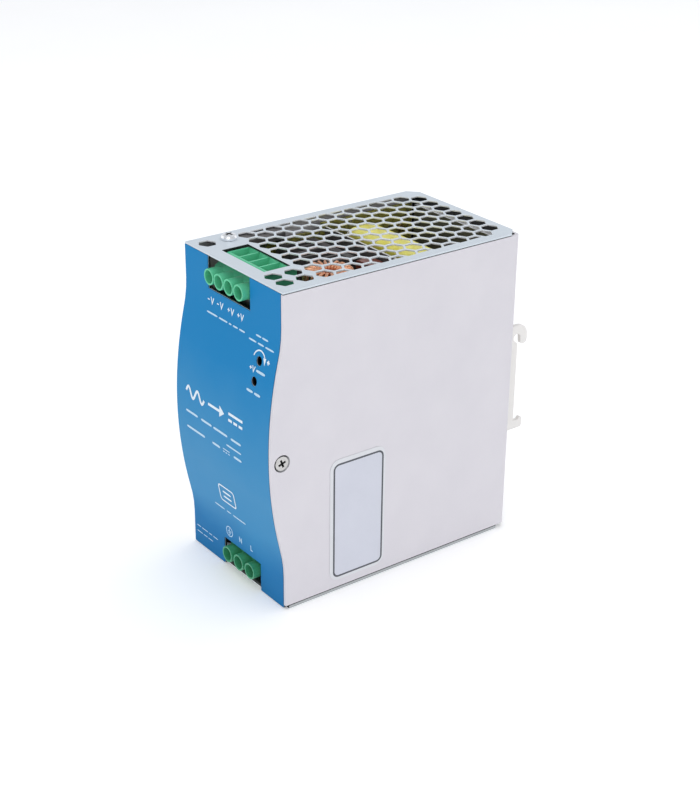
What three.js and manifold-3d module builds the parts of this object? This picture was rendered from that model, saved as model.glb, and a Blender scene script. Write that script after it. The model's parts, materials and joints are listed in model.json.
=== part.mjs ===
// DIN rail power supply: sheet metal case with a vented top and bottom, an
// S-curved front, screw terminals, and the converter's boards and components.
// Millimetres. X is the width, +Y runs from the front to the rail, +Z is up,
// and the case stands on z = 0. Pieces are laid out with x = 0 in the middle of
// the case and y = 0 on the flat front, then moved so that the origin lies
// under the middle of the overall box.
import * as THREE from 'three';
import Module from 'manifold-3d';

const wasm = await Module();
wasm.setup();

// ---------------------------------------------------------------- dimensions
const W = 63;              // case width
const H = 125.2;           // case height
const D = 107.2;           // flat front plane to the back wall's outer face
const T = 1.2;             // sheet thickness of the shell and the bottom cover
const TC = 0.6;            // sheet thickness of the top cover
const TP = 0.8;            // sheet thickness of the front panel
const G = 0.3;             // seam gap
const BULGE = 5.9;         // how far the front's middle stands out
const ZC = 62.6;           // height of the bulge's centre
const R_BULGE = 158;       // radius of the bulge's convex middle
const A_BULGE = 49;        // half height of the curved zone
const LABEL_T = 0.25;      // front overlay film
const HEX_P = 7.0;         // vent pitch
const HEX_AF = 6.1;       // vent hexagon across flats
const FIELD_X = 27.3;      // half width of the vent field
const FIELD_Y0 = 22.4;     // first vent row
const OUT_X = -2.35;       // centre of the output block
const OUT_P = 6.35;        // output pitch
const IN_X = 2.7;          // centre of the input block
const IN_P = 7.62;         // input pitch
const OUT_TOP = 124.2;     // screw face of the output block
const IN_TOP = 2.0;        // screw face of the input block
const SLOPE = 0.67;        // slope of the inner wire bores
const BRX = 27;            // half width of the rail bracket
const BRT = 1.6;           // its sheet thickness
const YP = 113.3;          // face of the rail bracket that the rail rests on

const XW = W / 2;
const group = new THREE.Group();
group.name = 'din_rail_power_supply';

// ---------------------------------------------------------------- helpers
function bulge(z) {
  const zi = 2 * R_BULGE * BULGE / A_BULGE, u = Math.abs(z - ZC);
  const r2 = (A_BULGE - zi) / (zi / R_BULGE);
  let d;
  if (u < zi) d = u * u / (2 * R_BULGE);
  else if (u < A_BULGE) d = BULGE - (A_BULGE - u) ** 2 / (2 * r2);
  else d = BULGE;
  return d - BULGE;
}
const CURVE_Z = [];
for (let i = 0; i <= 24; i++) CURVE_Z.push(ZC - A_BULGE + i * 2 * A_BULGE / 24);

function shapeOf(pts, holes = []) {
  const s = new THREE.Shape(pts.map(p => new THREE.Vector2(p[0], p[1])));
  for (const h of holes) s.holes.push(new THREE.Path(h.map(p => new THREE.Vector2(p[0], p[1]))));
  return s;
}
function extrude(pts, len, holes) {
  return new THREE.ExtrudeGeometry(shapeOf(pts, holes), { depth: len, bevelEnabled: false, curveSegments: 1 });
}
// polygon in (x, y), from z = lo to hi
function prismZ(pts, lo, hi, holes) { const g = extrude(pts, hi - lo, holes); g.translate(0, 0, lo); return g; }
// polygon in (x, z), from y = lo to hi
function prismY(pts, lo, hi, holes) { const g = extrude(pts, hi - lo, holes); g.rotateX(Math.PI / 2); g.translate(0, hi, 0); return g; }
// polygon in (y, z), from x = lo to hi
function prismX(pts, lo, hi, holes) {
  const g = extrude(pts, hi - lo, holes);
  g.applyMatrix4(new THREE.Matrix4().set(0, 0, 1, 0, 1, 0, 0, 0, 0, 1, 0, 0, 0, 0, 0, 1));
  g.translate(lo, 0, 0);
  return g;
}
function box(x0, x1, y0, y1, z0, z1) {
  const g = new THREE.BoxGeometry(x1 - x0, y1 - y0, z1 - z0);
  g.translate((x0 + x1) / 2, (y0 + y1) / 2, (z0 + z1) / 2);
  return g;
}
// solid of revolution: profile [[r, h], ...] about an axis through c
function lathe(profile, axis, c, seg = 24, spin = 0) {
  const g = new THREE.LatheGeometry(profile.map(p => new THREE.Vector2(p[0], p[1])), seg);
  g.rotateY(spin);
  if (axis === 'z') g.rotateX(Math.PI / 2);
  if (axis === '-z') g.rotateX(-Math.PI / 2);
  if (axis === 'x') g.rotateZ(-Math.PI / 2);
  if (axis === '-x') g.rotateZ(Math.PI / 2);
  if (axis === '-y') g.rotateX(Math.PI);
  g.translate(c[0], c[1], c[2]);
  return g;
}
function cyl(r, axis, c, h0, h1, seg = 24) {
  return lathe([[0, h0], [r, h0], [r, h1], [0, h1]], axis, c, seg);
}
// welds equal corners, so that a geometry with split vertices closes
function solid(g) {
  const pos = g.getAttribute('position'), idx = g.index ? Array.from(g.index.array) : [...Array(pos.count).keys()];
  const tol = 1e-4, cells = new Map(), verts = [], map = new Array(pos.count);
  for (let i = 0; i < pos.count; i++) {
    const x = pos.getX(i), y = pos.getY(i), z = pos.getZ(i);
    const cx = Math.floor(x / tol), cy = Math.floor(y / tol), cz = Math.floor(z / tol);
    let hit = -1;
    for (let a = -1; a <= 1 && hit < 0; a++) for (let b = -1; b <= 1 && hit < 0; b++) for (let c = -1; c <= 1 && hit < 0; c++) {
      const k = cells.get(`${cx + a},${cy + b},${cz + c}`);
      if (k !== undefined && Math.hypot(verts[k * 3] - x, verts[k * 3 + 1] - y, verts[k * 3 + 2] - z) < tol) hit = k;
    }
    if (hit < 0) { hit = verts.length / 3; verts.push(x, y, z); cells.set(`${cx},${cy},${cz}`, hit); }
    map[i] = hit;
  }
  const keep = [];
  for (let i = 0; i < idx.length; i += 3) {
    const a = map[idx[i]], b = map[idx[i + 1]], c = map[idx[i + 2]];
    if (a !== b && b !== c && a !== c) keep.push(a, b, c);
  }
  const make = () => new wasm.Manifold(new wasm.Mesh({ numProp: 3, vertProperties: new Float32Array(verts), triVerts: new Uint32Array(keep) }));
  let s = make();
  if (s.volume() < 0) {
    for (let i = 0; i < keep.length; i += 3) { const t = keep[i]; keep[i] = keep[i + 1]; keep[i + 1] = t; }
    s = make();
  }
  return s;
}
const M = g => (g instanceof wasm.Manifold ? g : solid(g));
function sub(a, ...rest) { let s = M(a); for (const r of rest) s = s.subtract(M(r)); return s; }
function add(a, ...rest) { let s = M(a); for (const r of rest) s = s.add(M(r)); return s; }
function toGeo(m) {
  if (!(m instanceof wasm.Manifold)) return m;
  const r = m.getMesh(), g = new THREE.BufferGeometry(), n = r.numProp;
  const p = new Float32Array(r.vertProperties.length / n * 3);
  for (let i = 0; i < p.length / 3; i++) for (let k = 0; k < 3; k++) p[i * 3 + k] = r.vertProperties[i * n + k];
  g.setAttribute('position', new THREE.BufferAttribute(p, 3));
  g.setIndex(new THREE.BufferAttribute(new Uint32Array(r.triVerts), 1));
  g.computeVertexNormals();
  return g;
}
// the origin is under the middle of the overall box
const OX = 0.075, OY = 56.125;
function put(name, g, color, roughness = 0.5, metalness = 0) {
  const geo = toGeo(M(g));
  geo.translate(-OX, -OY, 0);
  const mesh = new THREE.Mesh(geo, new THREE.MeshStandardMaterial({ color, roughness, metalness }));
  mesh.name = name;
  group.add(mesh);
}
function ngon(cx, cy, r, n, a0 = 0) {
  const p = [];
  for (let i = 0; i < n; i++) p.push([cx + r * Math.cos(a0 + i * 2 * Math.PI / n), cy + r * Math.sin(a0 + i * 2 * Math.PI / n)]);
  return p;
}
function roundRect(x0, x1, y0, y1, r, n = 3) {
  const p = [], c = [[x1 - r, y0 + r, -90], [x1 - r, y1 - r, 0], [x0 + r, y1 - r, 90], [x0 + r, y0 + r, 180]];
  for (const [cx, cy, a] of c) for (let i = 0; i <= n; i++) {
    const t = (a + 90 * i / n) * Math.PI / 180;
    p.push([cx + r * Math.cos(t), cy + r * Math.sin(t)]);
  }
  return p;
}
function clipX(poly, lo, hi) {
  const cut = (pts, keep, x) => {
    const out = [];
    for (let i = 0; i < pts.length; i++) {
      const a = pts[i], b = pts[(i + 1) % pts.length], ka = keep(a[0]), kb = keep(b[0]);
      if (ka) out.push(a);
      if (ka !== kb) { const t = (x - a[0]) / (b[0] - a[0]); out.push([x, a[1] + t * (b[1] - a[1])]); }
    }
    return out;
  };
  let p = cut(poly, x => x >= lo, lo);
  if (p.length) p = cut(p, x => x <= hi, hi);
  return p;
}
// Phillips recess: two crossed slots, sunk from the head's face
function cross(axis, c, size, width, depth, turn = 0.35) {
  const mk = a => {
    const g = new THREE.BoxGeometry(size, depth * 2, width);
    g.rotateY(a + turn);
    if (axis === 'z') g.rotateX(Math.PI / 2);
    if (axis === '-z') g.rotateX(-Math.PI / 2);
    if (axis === 'x') g.rotateZ(-Math.PI / 2);
    if (axis === '-x') g.rotateZ(Math.PI / 2);
    if (axis === '-y') g.rotateX(Math.PI);
    g.translate(c[0], c[1], c[2]);
    return g;
  };
  return add(mk(0), mk(Math.PI / 2));
}

function slot(axis, c, size, width, depth, turn) {
  const g = new THREE.BoxGeometry(size, depth * 2, width);
  g.rotateY(turn);
  g.rotateX(axis === 'z' ? Math.PI / 2 : -Math.PI / 2);
  g.translate(c[0], c[1], c[2]);
  return g;
}

// ---------------------------------------------------------------- colours
const STEEL = 0xd7dade, BLUE = 0x2a84c2, GREEN = 0x2f9a66, CHROME = 0xe2e4e8, ALU = 0xb9bcc0;
const DARK = 0x2b2d30, PCB = 0x5d6a2e, BLACK = 0x1c1d20, YELLOW = 0xd8c83c, COPPER = 0xb8643c;

// ---------------------------------------------------------------- vents
const HEX_R = HEX_AF / Math.sqrt(3), ROW = HEX_P * Math.sqrt(3) / 2;
const hexAt = (x, y) => ngon(x, y, HEX_R, 6, Math.PI / 2);
function ventField(rows) {
  const out = [];
  for (let r = 0; r < rows; r++) {
    const y = FIELD_Y0 + r * ROW;
    if (r === 13) { for (let i = -3; i <= 3; i++) out.push(hexAt(i * HEX_P, y)); continue; }
    if (r % 2 === 0) for (let i = 0; i < 8; i++) out.push(hexAt((i - 3.5) * HEX_P, y));
    else for (let i = -4; i <= 4; i++) {
      const p = clipX(hexAt(i * HEX_P, y), -FIELD_X, FIELD_X);
      if (p.length > 2) out.push(p);
    }
  }
  return out;
}
const CH = 4;              // chamfer at the covers' back corners
const coverOutline = y0 => [[-XW, y0], [XW, y0], [XW, D - G - CH], [XW - CH, D - G], [-XW + CH, D - G], [-XW, D - G - CH]];
const outCut = [OUT_X - 13.5, OUT_X + 13.5, 6.0, 17.2];
const inCut = [IN_X - 12.4, IN_X + 12.4, 6.0, 17.4];
const rect = (x0, x1, y0, y1) => [[x0, y0], [x1, y0], [x1, y1], [x0, y1]];
const cornerHex = [[16.6, 6.2], [23.5, 6.2], [16.9, 14.4], [23.8, 14.4]];

// top cover: plate with a rounded front bend
{
  const holes = ventField(14);
  holes.push(rect(...outCut), hexAt(-24.9, 5.6), ngon(-24.4, 14.6, 1.75, 16));
  for (const [x, y] of cornerHex) holes.push(hexAt(x, y));
  let g = M(prismZ(coverOutline(0), H - TC, H, holes));
  g = sub(g, sub(box(-40, 40, -0.1, 0.5, H - 0.5, H + 0.2), cyl(0.5, 'x', [0, 0.5, H - 0.5], -41, 41, 16)));
  put('top_cover', g, STEEL, 0.35, 0.8);
}
// bottom cover: a like plate with a shorter vent field
const BY0 = 0.35 + TP + G;
{
  const holes = ventField(11);
  holes.push(rect(...inCut), ngon(-24.4, 14.6, 1.75, 16));
  holes.push(hexAt(23.8, 6.2), hexAt(23.8, 14.4), hexAt(-17.6, 6.2), hexAt(-24.5, 6.2));
  let g = M(prismZ(coverOutline(BY0), 0, T, holes));
  g = sub(g, lathe([[0, -0.1], [3.3, -0.1], [3.3, 0], [1.7, 1.05], [0, 1.05]], 'z', [-24.4, 14.6, 0], 24));
  put('bottom_cover', g, STEEL, 0.35, 0.8);
}

// ---------------------------------------------------------------- front panel
function skin(off0, off1, z0, z1) {
  const zs = [z0, ...CURVE_Z.filter(z => z > z0 + 0.2 && z < z1 - 0.2), z1];
  return [...zs.map(z => [bulge(z) + off0, z]), ...zs.slice().reverse().map(z => [bulge(z) + off1, z])];
}
const PANEL_TOP = H - TC - G, SY = -1.0, SZ = 61.0;
const upWin = [OUT_X - 13.5, OUT_X + 13.5, 112.1, 140], loWin = [IN_X - 12.4, IN_X + 12.4, -5, 11.6];
const POT = [19.7, 96.6], LED = [18.5, 88.8];
{
  let g = M(prismX(skin(0.35, 0.35 + TP, 0, PANEL_TOP), -XW, XW - T - G));
  const tabZ = [48, 74];
  const tab = x => prismX([[bulge(48) + 0.7, tabZ[0]], [6, tabZ[0]], [6, tabZ[1]], [bulge(74) + 0.7, tabZ[1]]], x, x + T);
  g = add(g, tab(XW - 2 * T - G), tab(-XW + T + G));
  g = sub(g, box(upWin[0], upWin[1], -20, 20, upWin[2], upWin[3]), box(loWin[0], loWin[1], -20, 20, loWin[2], loWin[3]),
    cyl(1.7, 'y', [POT[0], 0, POT[1]], -12, 12, 20), cyl(1.7, 'y', [LED[0], 0, LED[1]], -12, 12, 20),
    cyl(1.75, 'x', [0, SY, SZ], -40, 40, 16));
  // the front face itself is not bored by the side screws
  put('front_panel', g, STEEL, 0.35, 0.8);
  let f = M(prismX(skin(0, LABEL_T, 0.15, PANEL_TOP + 0.15), -XW + 0.15, XW - T - G - 0.05));
  f = sub(f, box(upWin[0] - 0.1, upWin[1] + 0.1, -20, 20, upWin[2] - 0.1, upWin[3]), box(loWin[0] - 0.1, loWin[1] + 0.1, -20, 20, loWin[2], loWin[3] + 0.1),
    cyl(1.75, 'y', [POT[0], 0, POT[1]], -12, 12, 20), cyl(1.75, 'y', [LED[0], 0, LED[1]], -12, 12, 20));
  put('front_label', f, BLUE, 0.45, 0);
}

// ---------------------------------------------------------------- rear shell
const SH0 = T + G, SH1 = H - TC - G;
{
  const r = 1.6, n = 4, out = [], inn = [];
  for (let i = 0; i <= n; i++) { const t = i / n * Math.PI / 2; out.push([XW - r + r * Math.cos(t), D - r + r * Math.sin(t)]); }
  for (let i = 0; i <= n; i++) { const t = Math.PI / 2 + i / n * Math.PI / 2; out.push([-XW + r + r * Math.cos(t), D - r + r * Math.sin(t)]); }
  const q = 0.5;
  inn.push([-XW + T, -12], [-XW + T, D - T - q], [-XW + T + q, D - T], [XW - T - q, D - T], [XW - T, D - T - q], [XW - T, -12]);
  let g = M(prismZ([[XW, -12], ...out, [-XW, -12], ...inn], SH0, SH1));
  const cut = off => [[-30, SH0 - 5], [bulge(0) + off, SH0 - 5], ...CURVE_Z.map(z => [bulge(z) + off, z]), [bulge(H) + off, SH1 + 5], [-30, SH1 + 5]];
  g = sub(g, prismX(cut(0), 10, 40), prismX(cut(0.35 + TP + G), -40, -10));
  // dished screw seats, one on each side
  const dish = [[0, -0.6], [3.35, -0.6], [3.35, 0], [3.1, 0.4], [1.75, 1.15], [1.75, 2], [0, 2]];
  g = sub(g, lathe(dish, '-x', [XW, SY, SZ], 28), lathe(dish, 'x', [-XW, SY, SZ], 28));
  // clearance holes for the bracket screws
  for (const x of [-16, 16]) g = sub(g, cyl(1.8, 'y', [x, 0, 60], D - 5, D + 5, 16));
  put('rear_shell', g, STEEL, 0.35, 0.8);
}
// side label
{
  put('side_label', prismX(roundRect(19.9, 45.3, 4.5, 55.3, 4.0, 4), XW + 0.03, XW + 0.15), 0xc9d0dc, 0.5, 0);
}

// ---------------------------------------------------------------- screws
// countersunk, head in the dish
const flat = [[0, 0], [1.45, 0], [1.45, 7.35], [2.7, 8.1], [2.8, 8.3], [2.7, 8.42], [0, 8.5]];
const side = (ax, x) => sub(lathe(flat, ax, [x, SY, SZ], 20), cross(ax, [x + (ax === 'x' ? 8.5 : -8.5), SY, SZ], 3.2, 0.85, 0.9));
put('side_screw_right', side('x', XW - 8.5), CHROME, 0.25, 1);
put('side_screw_left', side('-x', -XW + 8.5), CHROME, 0.25, 1);
put('top_screw', sub(lathe([[0, -7], [1.45, -7], [1.45, 0.12], [3.0, 0.12], [3.0, 0.9], [2.5, 1.6], [1.5, 2.0], [0, 2.1]], 'z', [-24.4, 14.6, H], 20),
  cross('z', [-24.4, 14.6, H + 2.1], 3.2, 0.8, 1.1)), CHROME, 0.2, 1);
put('bottom_screw', sub(lathe([[0, 0.15], [2.7, 0.15], [2.7, 0.3], [1.4, 1.15], [1.4, 6.6], [0, 6.6]], 'z', [-24.4, 14.6, 0], 16),
  cross('-z', [-24.4, 14.6, 0.15], 2.9, 0.75, 0.7)), CHROME, 0.25, 1);

// ---------------------------------------------------------------- rail bracket
{
  const P = [[107.5, 39.9], [117.0, 39.9], [117.6, 40.2], [117.9, 40.9], [117.9, 43.4], [117.6, 44.1], [117.0, 44.4], [116.5, 44.2], [116.0, 43.4],
    [YP, 43.4], [YP, 76.6], [113.0, 77.3], [112.4, 77.8], [111.6, 78.2], [111.2, 79.0], [111.3, 80.0], [112.0, 80.8], [113.0, 81.1], [114.0, 80.8], [114.6, 80.0],
    [114.75, 79.0], [114.8, 77.4], [115.1, 76.7], [115.8, 76.3], [116.7, 76.3], [117.5, 76.7], [118.0, 77.5], [118.15, 78.6], [118.1, 80.6], [117.6, 82.3],
    [116.6, 83.6], [115.2, 84.4], [113.6, 84.7], [111.6, 84.6], [109.6, 84.1], [107.5, 83.6]];
  // base plate with a hooked flange bent up at each side, and a tab over the leaf spring
  let g = M(box(-BRX, BRX, 107.5, 107.5 + BRT, 39.9, 84.0));
  g = add(g, prismX(P, -BRX, -BRX + BRT), prismX(P, BRX - BRT, BRX), box(-17, 17, 107.5, 114.4, 82.4, 84.0));
  for (const x of [-16, 16]) g = sub(g, cyl(1.8, 'y', [x, 0, 60], 100, 120, 16));
  put('rail_bracket', g, 0xcfcac4, 0.55, 0.3);
  const top = [], bot = [];
  for (let i = 0; i <= 12; i++) { const x = -15 + 2.5 * i, z = 80.75 - 1.35 * Math.cos(x / 15 * Math.PI / 2) ** 1.5; top.push([x, z + 0.35]); bot.push([x, z]); }
  put('rail_spring', prismY([...bot, ...top.reverse()], 112.0, 114.0), 0xc4c6c8, 0.3, 1);
  const bs = x => sub(lathe([[0, 0], [1.45, 0], [1.45, 7.8], [3.1, 7.8], [3.1, 9.4], [2.6, 9.9], [0, 9.9]], 'y', [x, 101.6, 60], 16),
    cross('y', [x, 101.6 + 9.9, 60], 3.4, 0.85, 0.9));
  put('bracket_screw_left', bs(-16), CHROME, 0.25, 1);
  put('bracket_screw_right', bs(16), CHROME, 0.25, 1);
}

// ---------------------------------------------------------------- terminals
// s = +1: screws face up, z0 = top of the housing; s = -1: screws face down
function terminals(tag, s, z0, ex, xc, pitch, n, ro, ri, yTip, height, color) {
  const Z = d => z0 - s * d;
  const half = n * pitch / 2 + 0.5;
  const yz = pts => { const q = pts.map(([y, d]) => [y, Z(d)]); return s > 0 ? q : q.reverse(); };
  const zbox = (x0, x1, y0, y1, d0, d1) => box(x0, x1, y0, y1, Math.min(Z(d0), Z(d1)), Math.max(Z(d0), Z(d1)));
  const dT = 4.8 + ex;
  let h = M(prismX(yz([[2.6, 4.1], [2.6, height], [20.2, height], [20.2, 0], [8.2, 0]].reverse()), xc - half, xc + half));
  const xs = [];
  for (let i = 0; i < n; i++) xs.push(xc + (i - (n - 1) / 2) * pitch);
  for (const x of xs) h = add(h, cyl(ro, 'y', [x, 0, Z(dT)], yTip, 5.8, 20));
  for (const x of xs) {
    // wire entry: a round tube, then a bore that slopes towards the clamp
    h = sub(h, cyl(ri, 'y', [x, 0, Z(dT)], yTip - 1, 6.3, 20));
    const t = lathe([[0, 0], [1.9, 0], [1.9, 6.4], [0, 6.4]], 'y', [0, 0, 0], 16);
    t.rotateX(-s * SLOPE);
    t.translate(x, 5.0, Z(dT + 0.14));
    h = sub(h, t);
    // flared screwdriver pocket, screw ledge, clamp chamber
    const pw = pitch / 2 - 0.375 - (pitch - OUT_P) * 0.2;
    h = sub(h, prismX(yz([[8.76, -0.4], [17.55, -0.4], [15.5, 3.7 + ex], [10.2, 3.7 + ex]].reverse()), x - pw, x + pw));
    h = sub(h, cyl(1.85, s > 0 ? 'z' : '-z', [x, 12.6, z0], -8, -1, 12));
    h = sub(h, zbox(x - 2.65, x + 2.65, 9.0, 16.2, 4.6 + ex, 14.4 + ex));
  }
  put(tag + '_terminal_housing', h, color, 0.42, 0);
  xs.forEach((x, i) => {
    const ax = s > 0 ? 'z' : '-z', hd = 2.4 + ex;
    put(`${tag}_screw_${i + 1}`, sub(lathe([[0, -hd - 4.5], [1.4, -hd - 4.5], [1.4, -hd - 1.0], [2.15, -hd - 1.0], [2.15, -hd - 0.2], [1.9, -hd], [0, -hd]], ax, [x, 12.6, z0], 16),
      slot(ax, [x, 12.6, Z(hd)], 6, 0.7, 0.6, 0.3 + i * 0.7)), CHROME, 0.3, 1);
    let c = M(zbox(x - 2.35, x + 2.35, 9.8, 15.4, 6.3 + ex, 13.2 + ex));
    c = sub(c, zbox(x - 1.7, x + 1.7, 9, 16.2, 7.1 + ex, 12.3 + ex), cyl(1.65, ax, [x, 12.6, z0], -8 - ex, -6 - ex, 12));
    put(`${tag}_clamp_${i + 1}`, c, 0xc9ccd0, 0.35, 1);
  });
  return xs;
}
terminals('output', 1, OUT_TOP, 1.4, OUT_X, OUT_P, 4, 3.05, 2.45, -2.3, 21.6, GREEN);
terminals('input', -1, IN_TOP, 0, IN_X, IN_P, 3, 3.25, 2.62, -2.0, 20.2, 0x237a50);

// ---------------------------------------------------------------- front controls
put('control_board', prismY(rect(11.6, 27.2, 79, 110), 8.6, 10.2), PCB, 0.5, 0);
put('trimmer_body', add(box(POT[0] - 3.3, POT[0] + 3.3, 2.2, 8.3, POT[1] - 3.4, POT[1] + 3.4)), 0x2a4f8f, 0.45, 0);
put('trimmer_rotor', sub(cyl(2.0, 'y', [POT[0], 0, POT[1]], 0.4, 1.95, 20), box(POT[0] - 1.6, POT[0] + 1.6, -0.4, 1.1, POT[1] - 0.32, POT[1] + 0.32)), 0xe6e2d4, 0.5, 0);
put('status_led', add(lathe([[0, -1.1], [0.8, -0.9], [1.3, -0.3], [1.45, 0.5], [1.45, 4.2], [1.75, 4.2], [1.75, 5.2], [0, 5.2]], 'y', [LED[0], 0, LED[1]], 12),
  box(LED[0] - 1.1, LED[0] + 1.1, 5.0, 8.3, LED[1] - 0.35, LED[1] + 0.35)), 0x8fd08a, 0.3, 0);

// ---------------------------------------------------------------- boards
const MBX0 = -27.9, MBX1 = -26.3;
const post = [[18, 14], [96, 14], [38, 113], [96, 113]];
put('main_board', prismX([[9, 24.6], [12, 24.6], [12, 8], [102, 8], [102, 122], [58, 122], [58, 119.5], [32, 119.5], [32, 99.9], [9, 99.9]], MBX0, MBX1,
  post.map(([y, z]) => ngon(y, z, 1.6, 12))), PCB, 0.5, 0);
post.forEach(([y, z], i) => put(`standoff_${i + 1}`, add(cyl(2.6, 'x', [0, y, z], -30.0, MBX0 - 0.1, 6), cyl(1.35, 'x', [0, y, z], MBX0 - 0.4, MBX1 + 1.2, 12)), 0xc8a860, 0.35, 1));
put('output_board', prismZ([[-26.0, 5.5], [11.2, 5.5], [11.2, 11], [22, 11], [22, 57.2], [2.2, 57.2], [2.2, 31], [-26.0, 31]], 100.6, 102.2), PCB, 0.5, 0);
put('input_board', prismZ(rect(-26.0, 17, 5.5, 27), 22.6, 24.2), PCB, 0.5, 0);

// ---------------------------------------------------------------- power stage
{
  // finned primary heatsink with a tab that takes the top screw
  let g = M(box(-24.5, 1.0, 50.2, 53.0, 48, 118));
  for (let i = 0; i < 6; i++) { const x = -24.5 + i * 4.86; g = add(g, box(x, x + 1.2, 35.2, 50.5, 48, 118)); }
  g = add(g, box(-28.4, -20.5, 10.2, 37, 121.8, 124.2), box(-24.5, -20.5, 35.2, 37.2, 117, 122.5));
  g = sub(g, cyl(1.7, 'z', [-24.4, 14.6, 0], 118, 126, 16));
  put('primary_heatsink', g, DARK, 0.5, 0.6);
}
put('bridge_rectifier', box(-22, -4, 53.3, 56.6, 88, 110), BLACK, 0.5, 0);
put('switching_transistor', box(-20, -8, 53.3, 57.4, 56, 76), BLACK, 0.5, 0);
put('insulation_barrier', prismY(rect(-25.5, 20, 60, 120.8), 58.7, 59.6), 0xeceae2, 0.7, 0);
put('output_heatsink', add(box(-25.6, 26, 102.6, 105.4, 62, 121.4), box(-25.6, 26, 98.9, 102.9, 62, 64.5)), ALU, 0.4, 0.9);
put('output_rectifier', box(-6, 10, 97.8, 102.3, 86, 106), BLACK, 0.5, 0);
{
  const x0 = -25.4, x1 = 25.4, y0 = 60.1, y1 = 84;
  let g = M(box(x0, x1, y0, y1, 88, 112));
  g = sub(g, box(x0 + 5, x1 - 5, 64.6, 68.8, 80, 120), box(x0 + 5, x1 - 5, 75.2, 79.4, 80, 120));
  put('transformer_core', g, 0x3a3a38, 0.6, 0.1);
  // bobbin: a sleeve round the centre leg with a flange at each end
  let b = M(box(-20.1, 20.1, 67.8, 76.2, 87.0, 113.0));
  for (const x of [-20.1, 19.4]) b = add(b, prismX(roundRect(65.0, 79.0, 80.6, 119.4, 1.6, 2), x, x + 0.7));
  b = sub(b, box(-30, 30, 68.4, 75.6, 87.6, 112.4));
  put('transformer_bobbin', b, 0xe8e4da, 0.6, 0);
  let w = M(prismX(roundRect(65.4, 78.6, 79.4, 120.6, 2.4, 4), -19.1, 19.1));
  w = sub(w, box(-30, 30, 67.5, 76.5, 86.7, 113.3));
  put('transformer_winding', w, YELLOW, 0.45, 0);
}
const ring = (ri, ro, h, n = 3) => {
  const c = [], r = 1.6;
  const k = [[ro - r, -h / 2 + r, -90], [ro - r, h / 2 - r, 0], [ri + r, h / 2 - r, 90], [ri + r, -h / 2 + r, 180]];
  for (const [cx, cy, a] of k) for (let i = 0; i <= n; i++) { const t = (a + 90 * i / n) * Math.PI / 180; c.push([cx + r * Math.cos(t), cy + r * Math.sin(t)]); }
  c.push(c[0]);
  return c;
};
put('output_choke', lathe(ring(3.6, 9.5, 18.0, 2), 'z', [12.2, 33, 112.4], 28), COPPER, 0.4, 0.7);
put('film_capacitor', prismY(roundRect(4.5, 17, 102.6, 118.5, 1.6, 2), 50.8, 57.2), 0x6e2f22, 0.4, 0);
put('pfc_choke', lathe(ring(5, 13.5, 15, 1), 'x', [-17.6, 42, 32], 20), 0x8a5a34, 0.45, 0.4);
put('common_mode_choke', lathe(ring(4.2, 10, 12, 1), 'x', [-19.6, 20, 60], 18), 0x9a5a30, 0.45, 0.4);
const can = (y, z, r, l) => lathe([[0, 0], [r - 0.5, 0], [r, 0.6], [r, l - 0.8], [r - 0.6, l], [0, l]], 'x', [-25.9, y, z], 20);
put('bulk_capacitor_1', can(74, 66, 11, 40), 0x2c2f3a, 0.4, 0.1);
put('bulk_capacitor_2', can(74, 40, 11, 40), 0x2c2f3a, 0.4, 0.1);
put('output_capacitor_1', can(91, 52, 5, 24), 0x25324a, 0.4, 0.1);
put('output_capacitor_2', can(91, 38, 5, 24), 0x25324a, 0.4, 0.1);
put('x_capacitor', box(-25.9, -8, 14, 27, 30, 45), 0xc7b53a, 0.5, 0);
put('fuse', add(cyl(2.6, 'z', [-20, 32, 0], 72, 92, 16)), 0xd8d8d0, 0.3, 0);

export default group;
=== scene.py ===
# Looks for the DIN rail power supply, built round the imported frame.
import bpy, bmesh, math, json, random
from mathutils import Vector, Matrix


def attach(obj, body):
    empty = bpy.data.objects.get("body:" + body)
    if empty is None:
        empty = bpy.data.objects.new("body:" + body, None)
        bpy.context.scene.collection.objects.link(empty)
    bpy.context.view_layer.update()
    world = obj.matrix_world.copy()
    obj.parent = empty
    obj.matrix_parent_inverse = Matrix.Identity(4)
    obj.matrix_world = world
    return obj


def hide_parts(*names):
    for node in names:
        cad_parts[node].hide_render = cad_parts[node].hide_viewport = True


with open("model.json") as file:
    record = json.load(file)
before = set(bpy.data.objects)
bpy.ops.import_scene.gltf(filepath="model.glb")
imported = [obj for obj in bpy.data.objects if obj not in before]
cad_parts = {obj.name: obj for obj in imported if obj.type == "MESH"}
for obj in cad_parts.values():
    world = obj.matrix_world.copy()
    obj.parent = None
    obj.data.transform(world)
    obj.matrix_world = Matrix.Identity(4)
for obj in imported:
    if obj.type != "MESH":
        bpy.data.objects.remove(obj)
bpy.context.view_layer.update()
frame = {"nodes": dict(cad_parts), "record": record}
random.seed(7)

# ---------------------------------------------------------------- layout
OX, OY = 0.075, 56.125            # the frame's origin in layout millimetres
XW, H, D, T, G = 31.5, 125.2, 107.2, 1.2, 0.3
BULGE, ZC, R_B, A_B = 5.9, 62.6, 158.0, 49.0
OUT_X, OUT_P, IN_X, IN_P = -2.35, 6.35, 2.7, 7.62
POT, LED = (19.7, 96.6), (18.5, 88.8)


def P(x, y, z):
    return Vector(((x - OX) / 1000, (y - OY) / 1000, z / 1000))


def bulge(z):
    zi = 2 * R_B * BULGE / A_B
    u = abs(z - ZC)
    r2 = (A_B - zi) / (zi / R_B)
    if u < zi:
        d = u * u / (2 * R_B)
    elif u < A_B:
        d = BULGE - (A_B - u) ** 2 / (2 * r2)
    else:
        d = BULGE
    return d - BULGE


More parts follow.
